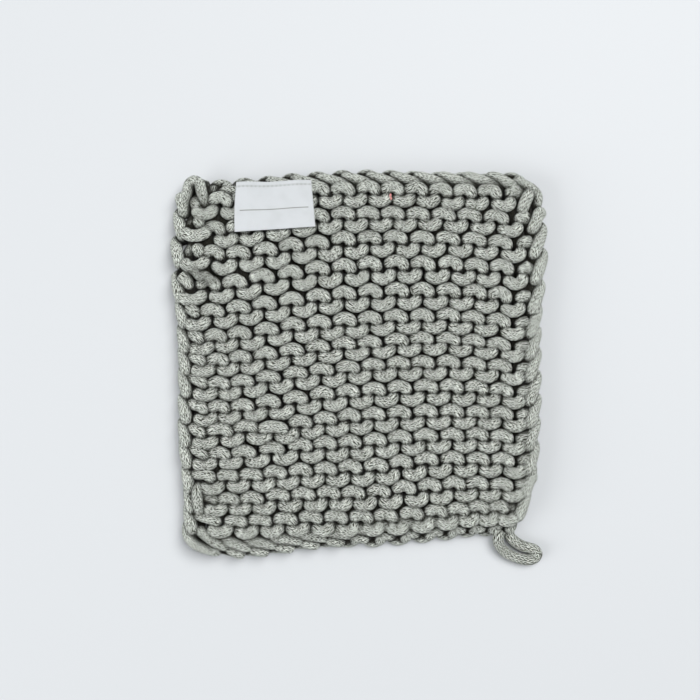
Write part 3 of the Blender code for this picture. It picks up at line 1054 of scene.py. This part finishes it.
def add_light(name, place, size, power):
    """A square area light at a place in metres, aimed at the pot holder."""
    lamp = bpy.data.lights.new(name, "AREA")
    lamp.size = size
    lamp.energy = power
    light = add_object(name, lamp)
    light.location = place
    light.rotation_euler = Vector(place).to_track_quat("Z", "Y").to_euler()


def light_the_scene():
    """Soft light from the upper right, a little from the lower left, and a pale sky all round."""
    for name, place, size, power in LIGHTS:
        add_light(name, place, size, power)
    world = bpy.data.worlds.new("sky")
    world.use_nodes = True
    sky = world.node_tree.nodes["Background"]
    sky.inputs["Color"].default_value = (*SKY_COLOUR, 1)
    sky.inputs["Strength"].default_value = SKY_STRENGTH
    bpy.context.scene.world = world
    bpy.context.scene.view_settings.view_transform = "Standard"


# ---------------------------------------------------------------- making it all


def make_hanging_loop(material):
    """The loop's cord along its route, made in place of the part's own loop."""
    path = smooth_line(np.array(LOOP_ROUTE), LOOP_FINER)
    surface = cord_surface(path, LOOP_CORD / 2, LOOP_SIDES)
    loop = make_object("knitted_hanging_loop", *surface, material)
    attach(loop, "root")
    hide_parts("hanging_loop")


def knitted_pieces():
    """The middle lines and the cord's radius of every knitted piece: the rows in bands from the
    cast-on edge up, both finished edges and the short lengths of cord that show past them."""
    pieces = {}
    for number, band in enumerate(body_cord(), start=1):
        pieces[f"knitted_rows_{number}"] = ([band], CORD_RADIUS)
    chains = {
        name: edge_chain(first, last, ridge_row, outline, inset, rise, depth, height, lean)
        for name, first, last, ridge_row, outline, inset, rise, depth, height, lean in EDGE_CHAINS
    }
    pieces["bound_off_edge"] = ([chains["top"]], CHAIN_CORD_RADIUS)
    pieces["cast_on_edge"] = ([chains["upper"], chains["lower"]], CAST_ON_CORD_RADIUS)
    for name, (route, radius) in LOOSE_CORDS.items():
        pieces[name] = ([laid_cord(route, RING_GAP)], radius)
    return pieces


def make_knitting(material):
    """The knitted pieces as surfaces, with the share of painted shade deep between their turns marked.
    """
    pieces = knitted_pieces()
    lines = [line for piece_lines, _ in pieces.values() for line in piece_lines]
    face_heights = mean_heights(lines)
    back_heights = mean_heights([line * (1, 1, -1) + (0, 0, 2 * MID_HEIGHT) for line in lines])
    for name, (piece_lines, radius) in pieces.items():
        points, faces, uv = join_surfaces([cord_surface(line, radius) for line in piece_lines])
        points[:, 2] = pressed(points[:, 2])
        piece = make_object(name, points, faces, uv, material)
        mark_hollow_shade(piece, points, face_heights, back_heights)
        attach(piece, "root")
        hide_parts("knitted_square")


def make_fleck():
    """A short end of pink thread that the maker knitted in, between two stitches of the top ridge."""
    surface = cord_surface(laid_cord(FLECK_ROUTE, FLECK_RING_GAP), FLECK_RADIUS)
    fleck = make_object("pink_fleck", *surface, plain_material("Pink_thread", FLECK_PINK, 0.9))
    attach(fleck, "root")
    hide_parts("knitted_square")


def make_label():
    """The label: across its width in straight lines between its side edges, and down its face.

    With w from 0 to 1 across and d from -fold to the label's drop, a point of the face lies at share
    d / drop between the top and bottom edges. Its height is that of the label, plus lift (d / drop)^3
    for the loose lower edge, less a groove exp(-(d - line)^2 / 0.3) along the stitches, plus two slow
    ripples; a ripple and a bow also lie along the top and side edges. Where d is below 0 the ribbon
    runs back under itself, LABEL_UNDER thicknesses lower."""
    w = np.linspace(0, 1, 64)[None, :]
    folded = np.linspace(-LABEL_FOLD, -0.5, 8)
    bend = np.linspace(-LABEL_BEND, LABEL_BEND, 5)
    face = np.linspace(0.5, LABEL_DROP, 44)
    d = np.concatenate([folded, bend, face])[:, None]
    w, d = np.broadcast_arrays(w, d)
    share = np.abs(d) / LABEL_DROP
    corner = {name: np.array(place) for name, place in LABEL_CORNERS.items()}
    top = corner["top_left"] + (corner["top_right"] - corner["top_left"]) * w[..., None]
    bottom = corner["bottom_left"] + (corner["bottom_right"] - corner["bottom_left"]) * w[..., None]
    flat = top + (bottom - top) * share[..., None]
    flat[..., 1] += 0.3 * np.sin(w * 9.0 + 0.6) * (1 - share)
    flat[..., 0] += 0.7 * np.sin(np.pi * share) * (w - 0.75) * (w < 0.75)
    height = LABEL_HEIGHT + LABEL_LIFT * share**3
    height = height + 0.22 * np.sin(w * 15.0) * (1 - share) ** 2 + 0.3 * np.sin(w * 7.0 + 1.0) * share
    height = height - LABEL_GROOVE * np.exp(-((d - LABEL_STITCHES_DOWN) ** 2) / 0.3)
    under = 1 - smooth_step(0.5 + d / (2 * LABEL_BEND))
    height = height - LABEL_UNDER * LABEL_THICKNESS * under
    points = np.concatenate([flat, height[..., None]], axis=-1).reshape(-1, 3)
    rows, columns = w.shape
    start = (np.arange(rows - 1)[:, None] * columns + np.arange(columns - 1)[None, :]).ravel()
    faces = np.stack([start, start + columns, start + columns + 1, start + 1], axis=1)
    cloth = np.stack([w * LABEL_WIDTH, d], axis=-1).reshape(-1, 2)
    label = make_object("woven_label", points, faces.tolist(), cloth[faces.ravel()], satin_material())
    shell = label.modifiers.new("thickness", "SOLIDIFY")
    shell.thickness = LABEL_THICKNESS * MM
    shell.offset = -1
    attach(label, "root")
    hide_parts("sewn_label")


aim_camera()
fine_knitting = knitted_cord_group()
cotton = cord_material("Cotton_cord", fine_knitting, CORD_COLUMNS, CORD_LENGTH, CORD_GAP_SHADE)
loop_cotton = cord_material("Loop_cord", fine_knitting, LOOP_COLUMNS, LOOP_LENGTH, LOOP_GAP_SHADE)
make_hanging_loop(loop_cotton)
make_knitting(cotton)
make_fleck()
make_label()
make_floor()
light_the_scene()
